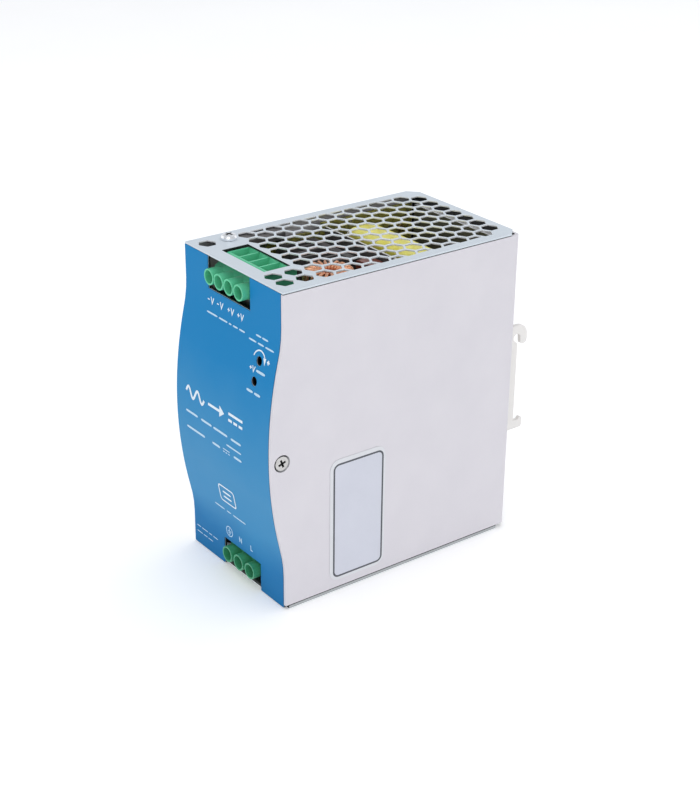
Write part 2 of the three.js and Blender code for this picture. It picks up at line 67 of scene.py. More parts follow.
# ---------------------------------------------------------------- materials
class Nodes:
    def __init__(self, name):
        self.m = bpy.data.materials.new(name)
        self.m.use_nodes = True
        self.nt = self.m.node_tree
        self.nt.nodes.clear()
        self.out = self.add("ShaderNodeOutputMaterial")
        self.b = self.add("ShaderNodeBsdfPrincipled")
        self.link(self.b.outputs[0], self.out.inputs[0])
        self.co = self.add("ShaderNodeTexCoord").outputs["Object"]

    def add(self, kind, **kw):
        n = self.nt.nodes.new(kind)
        for k, v in kw.items():
            setattr(n, k, v)
        return n

    def link(self, a, b):
        self.nt.links.new(a, b)

    def mapping(self, scale=(1, 1, 1), rot=(0, 0, 0), src=None):
        n = self.add("ShaderNodeMapping")
        n.inputs["Scale"].default_value = scale
        n.inputs["Rotation"].default_value = rot
        self.link(src or self.co, n.inputs["Vector"])
        return n.outputs[0]

    def noise(self, scale, detail=3.0, rough=0.5, src=None, dist=0.0):
        n = self.add("ShaderNodeTexNoise")
        n.inputs["Scale"].default_value = scale
        n.inputs["Detail"].default_value = detail
        n.inputs["Roughness"].default_value = rough
        n.inputs["Distortion"].default_value = dist
        self.link(src or self.co, n.inputs["Vector"])
        return n.outputs["Fac"]

    def ramp(self, fac, stops):
        n = self.add("ShaderNodeValToRGB")
        e = n.color_ramp.elements
        while len(e) < len(stops):
            e.new(0.5)
        for i, (p, c) in enumerate(stops):
            e[i].position = p
            e[i].color = (*c, 1) if len(c) == 3 else c
        self.link(fac, n.inputs[0])
        return n.outputs[0]

    def rng(self, fac, lo, hi, a=0.0, b=1.0):
        n = self.add("ShaderNodeMapRange")
        n.inputs["From Min"].default_value = a
        n.inputs["From Max"].default_value = b
        n.inputs["To Min"].default_value = lo
        n.inputs["To Max"].default_value = hi
        self.link(fac, n.inputs["Value"])
        return n.outputs[0]

    def math(self, op, a, b=None, clamp=False):
        n = self.add("ShaderNodeMath", operation=op, use_clamp=clamp)
        for i, v in enumerate((a, b)):
            if v is None:
                continue
            if isinstance(v, (int, float)):
                n.inputs[i].default_value = v
            else:
                self.link(v, n.inputs[i])
        return n.outputs[0]

    def mix(self, fac, a, b, blend="MIX"):
        n = self.add("ShaderNodeMix", data_type="RGBA", blend_type=blend)
        if isinstance(fac, (int, float)):
            n.inputs[0].default_value = fac
        else:
            self.link(fac, n.inputs[0])
        for i, v in ((6, a), (7, b)):
            if isinstance(v, tuple):
                n.inputs[i].default_value = (*v, 1) if len(v) == 3 else v
            else:
                self.link(v, n.inputs[i])
        return n.outputs[2]

    def bump(self, height, strength, distance, prev=None):
        n = self.add("ShaderNodeBump")
        n.inputs["Strength"].default_value = strength
        n.inputs["Distance"].default_value = distance
        self.link(height, n.inputs["Height"])
        if prev is not None:
            self.link(prev, n.inputs["Normal"])
        return n.outputs[0]

    def set(self, **kw):
        for k, v in kw.items():
            s = self.b.inputs[k.replace("_", " ")]
            if isinstance(v, (int, float)):
                s.default_value = v
            elif isinstance(v, tuple):
                s.default_value = (*v, 1) if len(v) == 3 else v
            else:
                self.link(v, s)
        return self


def metal_sheet(name, lo, hi, r0, r1, metallic=1.0, grain=(1, 1, 40), bump=0.03, blotch=60):
    n = Nodes(name)
    g = n.noise(900, 2, 0.6, n.mapping(grain))
    m = n.noise(blotch, 4, 0.55)
    f = n.math("MULTIPLY_ADD", g, 0.35)
    n.nt.nodes[-1].inputs[2].default_value = 0.0
    f = n.math("ADD", f, n.math("MULTIPLY", m, 0.65))
    n.set(Base_Color=n.ramp(f, [(0.3, lo), (0.7, hi)]), Roughness=n.rng(f, r0, r1, 0.3, 0.7), Metallic=metallic,
          Normal=n.bump(g, bump, 0.00002, n.bump(m, bump * 2, 0.0002)))
    return n.m


def plastic(name, lo, hi, rough=0.4, grain=2500, bump=0.05, coat=0.0, blotch=90, spec=0.5, sss=0.0):
    n = Nodes(name)
    g = n.noise(grain, 2, 0.5)
    m = n.noise(blotch, 3, 0.5)
    f = n.math("ADD", n.math("MULTIPLY", g, 0.25), n.math("MULTIPLY", m, 0.75))
    n.set(Base_Color=n.ramp(f, [(0.3, lo), (0.7, hi)]), Roughness=n.rng(m, rough - 0.05, rough + 0.06, 0.3, 0.7),
          Normal=n.bump(g, bump, 0.00003))
    n.b.inputs["Specular IOR Level"].default_value = spec
    n.b.inputs["Coat Weight"].default_value = coat
    n.b.inputs["Coat Roughness"].default_value = 0.2
    if sss:
        n.b.inputs["Subsurface Weight"].default_value = sss
        n.b.inputs["Subsurface Radius"].default_value = (0.0006, 0.0012, 0.0008)
    return n.m


MAT = {}
MAT["zinc_sheet"] = metal_sheet("zinc_sheet", (0.60, 0.66, 0.72), (0.65, 0.71, 0.77), 0.38, 0.48, 0.30, (1, 30, 1))
# near white on the walls of the hex holes: a painted highlight where the hole edges catch the light
MAT["hole_wall_painted_highlight"] = metal_sheet("hole_wall_painted_highlight", (0.90, 0.93, 0.96), (0.97, 0.98, 1.0), 0.22, 0.34, 0.25, (1, 1, 30), 0.06)
MAT["side_sheet"] = metal_sheet("side_sheet", (0.630, 0.610, 0.650), (0.675, 0.654, 0.690), 0.42, 0.52, 0.3, (1, 30, 1))
# near black on the inner faces of the case sheets: painted shade for the dark inside of the case
MAT["case_inside_painted_shade"] = metal_sheet("case_inside_painted_shade", (0.030, 0.030, 0.032), (0.055, 0.055, 0.058), 0.5, 0.6, 0.4, (1, 30, 1))
MAT["cut_edge"] = metal_sheet("cut_edge", (0.36, 0.38, 0.39), (0.46, 0.48, 0.49), 0.4, 0.55, 0.4, (1, 1, 30), 0.08)
# near black on the screwdriver opening's edges, the window's cut edges, the bottom's front edge and the screws' cross
# recesses: painted shadow
MAT["painted_shadow_black"] = metal_sheet("painted_shadow_black", (0.008, 0.009, 0.010), (0.016, 0.018, 0.018), 0.5, 0.65, 0.2, (1, 1, 30), 0.08)
# darker metal in the dished screw seats and the top screw's cross recess: painted shade
MAT["recess_painted_shade_metal"] = metal_sheet("recess_painted_shade_metal", (0.22, 0.22, 0.23), (0.34, 0.34, 0.35), 0.22, 0.34, 0.9, (1, 1, 8), 0.08, 400)
MAT["label_film"] = plastic("label_film", (0.640, 0.650, 0.680), (0.670, 0.680, 0.710), 0.42, 1800, 0.03)
MAT["screw_plate"] = metal_sheet("screw_plate", (0.78, 0.80, 0.84), (0.90, 0.91, 0.93), 0.14, 0.26, 1.0, (1, 1, 4), 0.03, 400)
MAT["bracket_alloy"] = metal_sheet("bracket_alloy", (0.74, 0.72, 0.70), (0.80, 0.78, 0.76), 0.45, 0.58, 0.25, (1, 1, 30), 0.06)
MAT["spring_steel"] = metal_sheet("spring_steel", (0.62, 0.63, 0.65), (0.74, 0.75, 0.77), 0.2, 0.32, 1.0, (30, 1, 1))
MAT["tin_plate"] = metal_sheet("tin_plate", (0.66, 0.67, 0.69), (0.80, 0.81, 0.83), 0.28, 0.42, 1.0, (1, 1, 8), 0.05, 300)
MAT["green_light"] = plastic("green_light", (0.090, 0.52, 0.285), (0.115, 0.58, 0.33), 0.36, 1600, 0.05, 0.1, 120, 0.4, 0.2)
MAT["green_dark"] = plastic("green_dark", (0.045, 0.30, 0.145), (0.06, 0.35, 0.175), 0.36, 1600, 0.05, 0.1, 120, 0.4, 0.15)
MAT["trimmer_blue"] = plastic("trimmer_blue", (0.008, 0.025, 0.09), (0.012, 0.035, 0.12), 0.4)
MAT["trimmer_cream"] = plastic("trimmer_cream", (0.10, 0.095, 0.08), (0.14, 0.13, 0.11), 0.45)
MAT["led_lens"] = plastic("led_lens", (0.012, 0.045, 0.014), (0.018, 0.06, 0.02), 0.2, 900, 0.0, 0.3)
MAT["brass"] = metal_sheet("brass", (0.60, 0.44, 0.18), (0.74, 0.56, 0.26), 0.25, 0.38, 1.0, (1, 1, 6), 0.05, 300)
MAT["heatsink_black"] = metal_sheet("heatsink_black", (0.075, 0.069, 0.070), (0.135, 0.124, 0.125), 0.40, 0.56, 0.35, (1, 1, 20), 0.06)
MAT["heatsink_clear"] = metal_sheet("heatsink_clear", (0.92, 0.93, 0.95), (0.98, 0.98, 0.99), 0.22, 0.36, 0.15, (1, 1, 20), 0.06)
# dark olive for the output heatsink's faces below its top: painted shade
MAT["heatsink_painted_shade"] = metal_sheet("heatsink_painted_shade", (0.105, 0.105, 0.078), (0.175, 0.170, 0.125), 0.35, 0.5, 0.3, (1, 1, 20), 0.06)
MAT["screw_dull"] = metal_sheet("screw_dull", (0.50, 0.49, 0.48), (0.64, 0.63, 0.62), 0.22, 0.34, 1.0, (1, 1, 4), 0.05, 400)
MAT["package_black"] = plastic("package_black", (0.012, 0.013, 0.015), (0.03, 0.031, 0.034), 0.5, 2200, 0.08)
MAT["barrier_white"] = plastic("barrier_white", (0.62, 0.62, 0.60), (0.72, 0.72, 0.70), 0.5, 1500, 0.1)
MAT["barrier_face"] = plastic("barrier_face", (0.060, 0.056, 0.056), (0.10, 0.093, 0.090), 0.55, 1500, 0.1)
MAT["ferrite"] = plastic("ferrite", (0.03, 0.03, 0.028), (0.07, 0.068, 0.06), 0.6, 1200, 0.15)
MAT["bobbin_white"] = plastic("bobbin_white", (0.72, 0.69, 0.60), (0.80, 0.77, 0.68), 0.5)
MAT["capacitor_sleeve"] = plastic("capacitor_sleeve", (0.02, 0.025, 0.05), (0.035, 0.04, 0.075), 0.35, 2000, 0.03, 0.2)
MAT["capacitor_yellow"] = plastic("capacitor_yellow", (0.60, 0.46, 0.05), (0.68, 0.54, 0.08), 0.4)
MAT["capacitor_brown"] = plastic("capacitor_brown", (0.16, 0.035, 0.02), (0.24, 0.055, 0.03), 0.3, 1500, 0.05, 0.4)
MAT["fuse_ceramic"] = plastic("fuse_ceramic", (0.74, 0.74, 0.68), (0.82, 0.82, 0.76), 0.3)


def copper():
    n = Nodes("copper_wire")
    g = n.noise(500, 3, 0.5)
    n.set(Base_Color=n.ramp(g, [(0.3, (0.80, 0.34, 0.17)), (0.7, (0.95, 0.50, 0.30))]), Roughness=n.rng(g, 0.2, 0.34, 0.3, 0.7), Metallic=0.6,
          Normal=n.bump(n.noise(3000, 2), 0.05, 0.00002))
    n.b.inputs["Coat Weight"].default_value = 0.4
    return n.m


def shaded_green():
    # the block's face falls into the dark below its wire entries
    n = Nodes("green_entry")
    g = n.noise(1600, 2, 0.5)
    m = n.noise(120, 3, 0.5)
    f = n.math("ADD", n.math("MULTIPLY", g, 0.25), n.math("MULTIPLY", m, 0.75))
    s = n.add("ShaderNodeSeparateXYZ")
    n.link(n.co, s.inputs[0])
    low = n.rng(s.outputs["Z"], 1, 0, 0.1139, 0.1149)
    fore = n.rng(s.outputs["Y"], 1, 0, -0.0492, -0.0482)
    k = n.math("MULTIPLY", low, fore)
    base = n.ramp(f, [(0.3, (0.090, 0.52, 0.285)), (0.7, (0.115, 0.58, 0.33))])
    n.set(Base_Color=n.mix(k, base, (0.006, 0.010, 0.008)), Roughness=n.rng(m, 0.32, 0.42, 0.3, 0.7), Normal=n.bump(g, 0.05, 0.00003))
    n.b.inputs["Specular IOR Level"].default_value = 0.35
    return n.m


def tape():
    # polyester tape, wound in layers
    n = Nodes("yellow_tape")
    w = n.add("ShaderNodeTexWave", wave_type="BANDS", bands_direction="X")
    w.inputs["Scale"].default_value = 240
    w.inputs["Distortion"].default_value = 1.0
    w.inputs["Detail"].default_value = 1.0
    n.link(n.co, w.inputs["Vector"])
    m = n.noise(140, 3)
    n.set(Base_Color=n.mix(n.rng(m, 0, 1, 0.3, 0.7), (0.93, 0.84, 0.12), (0.98, 0.92, 0.20)), Roughness=n.rng(m, 0.25, 0.42, 0.3, 0.7),
          Normal=n.bump(w.outputs["Fac"], 0.15, 0.0001))
    n.b.inputs["Coat Weight"].default_value = 0.3
    return n.m


def board():
    # solder resist over copper areas, with pads
    n = Nodes("circuit_board")
    v = n.add("ShaderNodeTexVoronoi", feature="DISTANCE_TO_EDGE")
    v.inputs["Scale"].default_value = 260
    n.link(n.mapping((1, 1, 1)), v.inputs["Vector"])
    tr = n.math("GREATER_THAN", v.outputs["Distance"], 0.08)
    d = n.add("ShaderNodeTexVoronoi", feature="F1")
    d.inputs["Scale"].default_value = 420
    n.link(n.co, d.inputs["Vector"])
    pad = n.math("LESS_THAN", d.outputs["Distance"], 0.22)
    base = n.mix(tr, (0.16, 0.15, 0.035), (0.26, 0.235, 0.05))
    n.set(Base_Color=n.mix(pad, base, (0.55, 0.54, 0.50)), Roughness=n.rng(pad, 0.42, 0.25), Metallic=n.math("MULTIPLY", pad, 0.9),
          Normal=n.bump(tr, 0.3, 0.00003))
    return n.m


def blue_film():
    # screen-printed blue, with a painted reflection: lighter and a little greyer towards the foot
    n = Nodes("blue_film")
    s = n.add("ShaderNodeSeparateXYZ")
    n.link(n.co, s.inputs[0])
    z = n.rng(s.outputs["Z"], 0, 1, 0.0, 0.125)
    m = n.noise(50, 3, 0.5)
    f = n.math("ADD", z, n.math("MULTIPLY", n.math("SUBTRACT", m, 0.5), 0.10))
    blue_with_painted_reflection = n.ramp(f, [(0.0, (0.008, 0.148, 0.36)), (0.10, (0.020, 0.180, 0.42)), (0.20, (0.052, 0.262, 0.505)), (0.34, (0.062, 0.270, 0.505)), (0.52, (0.042, 0.250, 0.500)), (0.72, (0.012, 0.212, 0.485)), (1.0, (0.012, 0.210, 0.480))])
    g = n.noise(2600, 2)
    n.set(Base_Color=blue_with_painted_reflection, Roughness=n.rng(m, 0.42, 0.52, 0.3, 0.7), Normal=n.bump(g, 0.06, 0.00002))
    n.b.inputs["Specular IOR Level"].default_value = 0.06
    return n.m


def ink(name, lo, hi):
    n = Nodes(name)
    g = n.noise(1500, 3, 0.6)
    n.set(Base_Color=n.ramp(g, [(0.3, lo), (0.7, hi)]), Roughness=n.rng(g, 0.42, 0.55, 0.3, 0.7))
    return n.m


MAT["copper_wire"] = copper()
MAT["yellow_tape"] = tape()
MAT["green_entry"] = shaded_green()
MAT["circuit_board"] = board()
MAT["blue_film"] = blue_film()
MAT["white_ink"] = ink("white_ink", (0.66, 0.76, 0.84), (0.76, 0.84, 0.90))
MAT["dark_ink"] = ink("dark_ink", (0.05, 0.055, 0.07), (0.09, 0.095, 0.11))
MAT["white_ink_soft"] = ink("white_ink_soft", (0.42, 0.62, 0.78), (0.52, 0.70, 0.84))
MAT["label_field"] = plastic("label_field", (0.565, 0.580, 0.655), (0.595, 0.610, 0.685), 0.42, 1500, 0.02)
MAT["core_green"] = plastic("core_green", (0.03, 0.10, 0.06), (0.05, 0.14, 0.08), 0.5)
MAT["tape_clear"] = plastic("tape_clear", (0.70, 0.71, 0.73), (0.73, 0.74, 0.76), 0.35, 1500, 0.02)

# ---------------------------------------------------------------- finish on the frame
slots = {s["node"]: s["material_slot"] for s in frame["record"]["subparts"]}
SMOOTH = {}


def smooth_by_angle(o, deg):
    me = o.data
    for p in me.polygons:
        p.use_smooth = True
    try:
        me.set_sharp_from_angle(angle=math.radians(deg))
    except Exception:
        pass


for name, o in frame["nodes"].items():
    slot = slots[name]
    m = MAT["side_sheet"] if name == "rear_shell" else MAT[slot]
    for i in range(len(o.material_slots)):
        o.material_slots[i].material = m
    if not o.material_slots:
        o.data.materials.append(m)


def finish_mods(name, width, segs=2, angle=30):
    o = frame["nodes"][name]
    w = o.modifiers.new("weld", "WELD")
    w.merge_threshold = 0.000002
    d = o.modifiers.new("flat", "DECIMATE")
    d.decimate_type = "DISSOLVE"
    d.angle_limit = math.radians(0.6)
    b = o.modifiers.new("edge", "BEVEL")
    b.width = width / 1000
    b.segments = segs
    b.limit_method = "ANGLE"
    b.angle_limit = math.radians(angle)
    b.harden_normals = False
    b.use_clamp_overlap = True
    s = o.modifiers.new("shade", "WEIGHTED_NORMAL")
    s.keep_sharp = True
    s.weight = 80
    return o


BEV = {"top_cover": 0.12, "bottom_cover": 0.12, "front_panel": 0.15, "rear_shell": 0.2, "rail_bracket": 0.2, "primary_heatsink": 0.15,
       "output_heatsink": 0.2, "transformer_core": 0.3, "bridge_rectifier": 0.3, "switching_transistor": 0.3, "output_rectifier": 0.3,
       "x_capacitor": 0.4, "film_capacitor": 0.3, "trimmer_body": 0.2, "main_board": 0.08, "output_board": 0.08, "input_board": 0.08,
       "control_board": 0.08, "insulation_barrier": 0.08, "output_terminal_housing": 0.15, "input_terminal_housing": 0.15}
for name, o in frame["nodes"].items():
    for p in o.data.polygons:
        p.use_smooth = True
    finish_mods(name, BEV.get(name, 0.08), 2, 32)

# ---------------------------------------------------------------- sheet faces
def split_faces(name, rules):
    """rules: [(material, test(centre_mm, normal))]; the first that fits wins."""
    o = frame["nodes"][name]
    ids = []
    for m, _ in rules:
        o.data.materials.append(m)
        ids.append(len(o.data.materials) - 1)
    for p in o.data.polygons:
        c = p.center * 1000
        c = Vector((c.x + OX, c.y + OY, c.z))
        for i, (_, test) in zip(ids, rules):
            if test(c, p.normal):
                p.material_index = i
                break


edge_out = lambda c, n: abs(n.z) < 0.3 and (abs(c.x) > 31.4 or c.y > 106.5 or abs(c.x) + c.y > 134.2)
# the cover's underside is painted shade, the screwdriver opening's edges painted shadow, and the hex hole walls a
# painted highlight
split_faces("top_cover", [(MAT["case_inside_painted_shade"], lambda c, n: n.z < -0.5), (MAT["painted_shadow_black"], lambda c, n: abs(n.z) < 0.3 and -16 < c.x < 11.3 and 5.9 < c.y < 17.3),
                          (MAT["hole_wall_painted_highlight"], lambda c, n: abs(n.z) < 0.3 and abs(c.x) < 29 and 1.5 < c.y < 105)])
# the bottom's front edge is painted shadow and its top face painted shade; the outer edges are darker grey
split_faces("bottom_cover", [(MAT["painted_shadow_black"], lambda c, n: c.y < 1.6 and abs(n.z) < 0.5), (MAT["cut_edge"], edge_out), (MAT["case_inside_painted_shade"], lambda c, n: n.z > 0.5)])
# the shell's inner faces are painted shade
split_faces("rear_shell", [(MAT["case_inside_painted_shade"], lambda c, n: abs(c.x) < 30.4 and 3 < c.y < 106.1)])
# the window's cut edges are painted shadow and the panel's back faces painted shade
split_faces("front_panel", [(MAT["painted_shadow_black"], lambda c, n: abs(n.y) < 0.3 and abs(c.x) < 30), (MAT["case_inside_painted_shade"], lambda c, n: n.y > 0.5)])
split_faces("insulation_barrier", [(MAT["barrier_face"], lambda c, n: abs(n.y) > 0.5)])
# the terminal blocks fall into shadow under and behind their wire entries
split_faces("output_terminal_housing", [(MAT["green_entry"], lambda c, n: True)])
# a light top edge, with every other face of the heatsink painted dark: painted shade
split_faces("output_heatsink", [(MAT["heatsink_painted_shade"], lambda c, n: n.z < 0.5)])
# dished seats and cross recesses of the side screws, painted darker: painted shade in the seats and painted shadow in
# the recesses
split_faces("rear_shell", [(MAT["recess_painted_shade_metal"], lambda c, n: abs(c.x) > 30.31 and (c.y + 1.0) ** 2 + (c.z - 61.0) ** 2 < 3.36 ** 2 and abs(n.x) < 0.97)])
for nm in ("side_screw_right", "side_screw_left"):
    split_faces(nm, [(MAT["painted_shadow_black"], lambda c, n: abs(c.x) > 30.2 and (c.y + 1.0) ** 2 + (c.z - 61.0) ** 2 < 1.75 ** 2 and (abs(n.x) < 0.5 or abs(c.x) < 31.2)),
                     (MAT["screw_dull"], lambda c, n: True)])
# the top screw's cross recess in darker metal: painted shade
split_faces("top_screw", [(MAT["recess_painted_shade_metal"], lambda c, n: c.z > 126 and (c.x + 24.4) ** 2 + (c.y - 14.6) ** 2 < 1.75 ** 2 and (abs(n.z) < 0.5 or c.z < 126.6))])


# ---------------------------------------------------------------- printed marks
class Print:
    """Thin ink on the front film, drawn as strips in (x, z) millimetres."""

    def __init__(self, name, mat, off=0.05, surf=None):
        self.name, self.mat, self.off = name, mat, off
        self.v, self.f = [], []
        self.surf = surf or (lambda a, b, o: P(a, bulge(b) - o, b))

    def pt(self, a, b):
        self.v.append(self.surf(a, b, self.off))
        return len(self.v) - 1

    def strip(self, path, w, closed=False, step=0.8, flat=True):
        pts = []
        n = len(path)
        for i in range(n if closed else n - 1):
            a, b = Vector(path[i]), Vector(path[(i + 1) % n])
            k = max(1, int((b - a).length / step))
            for j in range(k):
                pts.append(a.lerp(b, j / k))
        if not closed:
            pts.append(Vector(path[-1]))
        m = len(pts)
        rows = []
        for i, p in enumerate(pts):
            q0 = pts[i - 1] if (i > 0 or closed) else None
            q1 = pts[(i + 1) % m] if (i < m - 1 or closed) else None
            d0 = (p - q0).normalized() if q0 is not None else None
            d1 = (q1 - p).normalized() if q1 is not None else None
            if d0 is None:
                d0 = d1
            if d1 is None:
                d1 = d0
            t = (d0 + d1)
            t = t.normalized() if t.length > 1e-6 else d1
            nrm = Vector((-t.y, t.x))
            c = max(0.45, nrm.dot(Vector((-d1.y, d1.x))))
            h = nrm * (w / 2 / c)
            rows.append((self.pt(p.x - h.x, p.y - h.y), self.pt(p.x + h.x, p.y + h.y)))
        for i in range(m if closed else m - 1):
            a, b = rows[i], rows[(i + 1) % m]
            self.f.append((a[0], b[0], b[1], a[1]))

    def bar(self, x0, x1, z, h):
        """a word of greeked type: a bar with round ends"""
        r = h / 2
        n = max(1, int((x1 - x0) / 0.8))
        xs = [x0 + (x1 - x0) * i / n for i in range(n + 1)]
        rows = []
        for i, x in enumerate(xs):
            k = 0.62 if i in (0, n) else 1
            rows.append((self.pt(x, z - r * k), self.pt(x, z + r * k)))
        for a, b in zip(rows, rows[1:]):
            self.f.append((a[0], b[0], b[1], a[1]))

    def poly(self, pts):
        self.f.append([self.pt(*p) for p in pts])

    def arc(self, cx, cz, r, a0, a1, w, n=24):
        full = abs(abs(a1 - a0) - 360) < 1e-6
        k = n if full else n + 1
        self.strip([(cx + r * math.cos(math.radians(a0 + (a1 - a0) * i / n)), cz + r * math.sin(math.radians(a0 + (a1 - a0) * i / n))) for i in range(k)], w, closed=full, step=9)

    def glyph(self, ch, x, z, h, w):
        wd = h * 0.78
        if ch == "V":
            self.strip([(x, z + h), (x + wd / 2, z), (x + wd, z + h)], w)
        elif ch == "+":
            c = h * 0.62
            self.strip([(x, z + h / 2), (x + c, z + h / 2)], w)
            self.strip([(x + c / 2, z + h / 2 - c / 2), (x + c / 2, z + h / 2 + c / 2)], w)
        elif ch == "-":
            self.strip([(x, z + h * 0.45), (x + h * 0.55, z + h * 0.45)], w)
        elif ch == "N":
            self.strip([(x, z), (x, z + h), (x + wd * 0.85, z), (x + wd * 0.85, z + h)], w)
        elif ch == "L":
            self.strip([(x, z + h), (x, z), (x + wd * 0.7, z)], w)

    def make(self, body="case"):
        me = bpy.data.meshes.new(self.name)
        me.from_pydata(self.v, [], self.f)
        me.materials.append(self.mat)
        o = bpy.data.objects.new(self.name, me)
        bpy.context.scene.collection.objects.link(o)
        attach(o, body)
        return o


def words(pr, x0, x1, z, h, lens, gap):
    """bars of the given lengths, scaled to fill x0..x1"""
    total = sum(lens) + gap * (len(lens) - 1)
    k = (x1 - x0) / total
    x = x0
    for l in lens:
        pr.bar(x, x + l * k, z, h)
        x += (l + gap) * k


ti = Print("terminal_marks", MAT["white_ink"])
for x, ch in ((-16.2, "-"), (-10.1, "-"), (-3.1, "+"), (3.2, "+")):
    ti.glyph(ch, x, 106.9, 2.3, 0.42)
    ti.glyph("V", x + 2.15, 106.9, 2.3, 0.48)
# protective earth, neutral and line, under the lower window's marks
ts = Print("mains_marks", MAT["white_ink_soft"])
ts.arc(-5.8, 15.8, 2.1, 0, 360, 0.36, 32)
ts.strip([(-5.8, 17.4), (-5.8, 15.9)], 0.34)
for w2, zz in ((1.25, 15.9), (0.85, 15.2), (0.42, 14.5)):
    ts.strip([(-5.8 - w2, zz), (-5.8 + w2, zz)], 0.32)
ts.glyph("N", 1.1, 14.5, 2.1, 0.42)
ts.glyph("L", 8.8, 14.5, 2.1, 0.42)
ts.make()
ti.make()

am = Print("trimmer_marks", MAT["white_ink"])
am.arc(POT[0], POT[1] + 0.2, 3.55, 165, 32, 0.5, 20)
am.poly([(POT[0] + 2.2, POT[1] + 1.9), (POT[0] + 3.9, POT[1] + 2.1), (POT[0] + 3.5, POT[1] - 0.6)])
am.glyph("+", 24.35, 96.5, 2.6, 0.62)
am.glyph("+", 14.9, 92.1, 2.0, 0.42)
am.glyph("V", 16.6, 92.1, 2.0, 0.42)
am.make()

# type that names a maker, a model or a rating is greeked as plain bars
gt = Print("greeked_type", MAT["white_ink_soft"])
words(gt, -16.0, 8.8, 103.3, 0.62, [5, 4, 1.2, 2.2, 2.6], 0.7)
words(gt, 15.6, 23.0, 104.8, 0.66, [3, 3.4], 0.6)
words(gt, 11.7, 27.1, 102.3, 0.62, [3.2, 2.6, 3.6], 0.7)
words(gt, 19.0, 24.4, 93.0, 0.95, [3.0], 0.6)
words(gt, 14.7, 23.2, 84.8, 0.95, [3.6, 3.4], 0.9)
words(gt, -24.7, -16.6, 61.8, 0.95, [4], 1)
words(gt, -14.2, 3.6, 61.8, 0.95, [4, 5.2], 0.7)
words(gt, 6.0, 12.5, 61.8, 0.95, [4], 1)
words(gt, 2.8, 12.5, 58.2, 0.66, [4], 1)
words(gt, -24.7, -12.2, 55.1, 0.95, [4], 1)
words(gt, -7.0, -1.8, 55.1, 0.95, [4], 1)
words(gt, 7.4, 12.5, 55.1, 0.95, [4], 1)
words(gt, -13.0, 8.0, 25.8, 0.66, [3.6, 1.6, 4.6], 0.8)
words(gt, -29.6, -14.4, 8.0, 0.36, [3.2, 5, 2.6, 4], 0.7)
words(gt, -29.6, -18.2, 5.5, 0.36, [4.4, 3, 3.6], 0.7)
# direct current
gt.strip([(0.2, 55.7), (4.7, 55.7)], 0.42)
for i in range(3):
    gt.strip([(0.2 + i * 1.7, 54.6), (1.3 + i * 1.7, 54.6)], 0.42)
gt.make()

# in the place of the large type: alternating current in, direct current out
pic = Print("function_pictogram", MAT["white_ink"])
pic.strip([(-24.4 + 12.4 * i / 32, 70.05 + 2.0 * math.sin(i / 32 * 4 * math.pi)) for i in range(33)], 1.05)
pic.strip([(-9.2, 70.05), (-1.0, 70.05)], 1.05)
pic.poly([(-1.6, 72.3), (1.6, 70.05), (-1.6, 67.8)])
pic.strip([(4.4, 71.4), (13.6, 71.4)], 1.05)
for i in range(3):
    pic.strip([(4.4 + i * 3.4, 68.9), (6.8 + i * 3.4, 68.9)], 1.05)
pic.make()
# a plain framed bar in the place of the conformity mark
fr = Print("plain_frame", MAT["white_ink"])
rr = []
for cx, cz, a0 in ((2.3, 31.7, -90), (2.3, 36.3, 0), (-5.6, 36.3, 90), (-5.6, 31.7, 180)):
    for i in range(5):
        t = math.radians(a0 + 22.5 * i)
        rr.append((cx + 1.2 * math.cos(t), cz + 1.2 * math.sin(t)))
fr.strip(rr, 0.62, closed=True)
fr.bar(-4.4, 1.1, 35.1, 0.8)
fr.bar(-4.4, 1.1, 32.9, 0.8)
fr.make()

# ---------------------------------------------------------------- side label print
side = lambda a, b, o: P(XW + 0.15 + o, a, b)


def rrect(x0, x1, z0, z1, r, n=6):
    out = []
    for cx, cz, a0 in ((x1 - r, z0 + r, -90), (x1 - r, z1 - r, 0), (x0 + r, z1 - r, 90), (x0 + r, z0 + r, 180)):
        for i in range(n + 1):
            t = math.radians(a0 + 90 * i / n)
            out.append((cx + r * math.cos(t), cz + r * math.sin(t)))
    return out


sl = Print("side_label_field", MAT["label_field"], 0.0, side)
sl.off = -0.005 + 0.01
sl.poly(rrect(21.8, 44.0, 6.15, 53.1, 2.1))
sl.make()
sb = Print("side_label_border", MAT["dark_ink"], 0.0, side)
sb.off = 0.012
sb.strip(rrect(21.75, 44.05, 6.1, 53.15, 2.2), 0.75, closed=True, step=6)
sb.make()


# ---------------------------------------------------------------- wound chokes
def tube_into(v, f, path, r, sides=8, closed=True):
    base = len(v)
    n = len(path)
    for i, p in enumerate(path):
        t = (path[(i + 1) % n] - path[i - 1]).normalized()
        ref = Vector((0, 0, 1)) if abs(t.z) < 0.8 else Vector((0, 1, 0))
        if i == 0:
            u = t.cross(ref).normalized()
        else:
            u = (u - t * u.dot(t)).normalized()
        w = t.cross(u)
        for k in range(sides):
            a = 2 * math.pi * k / sides
            v.append(p + (u * math.cos(a) + w * math.sin(a)) * r)
    for i in range(n if closed else n - 1):
        for k in range(sides):
            a, b = base + i * sides + k, base + i * sides + (k + 1) % sides
            c, d = base + ((i + 1) % n) * sides + (k + 1) % sides, base + ((i + 1) % n) * sides + k
            f.append((a, b, c, d))


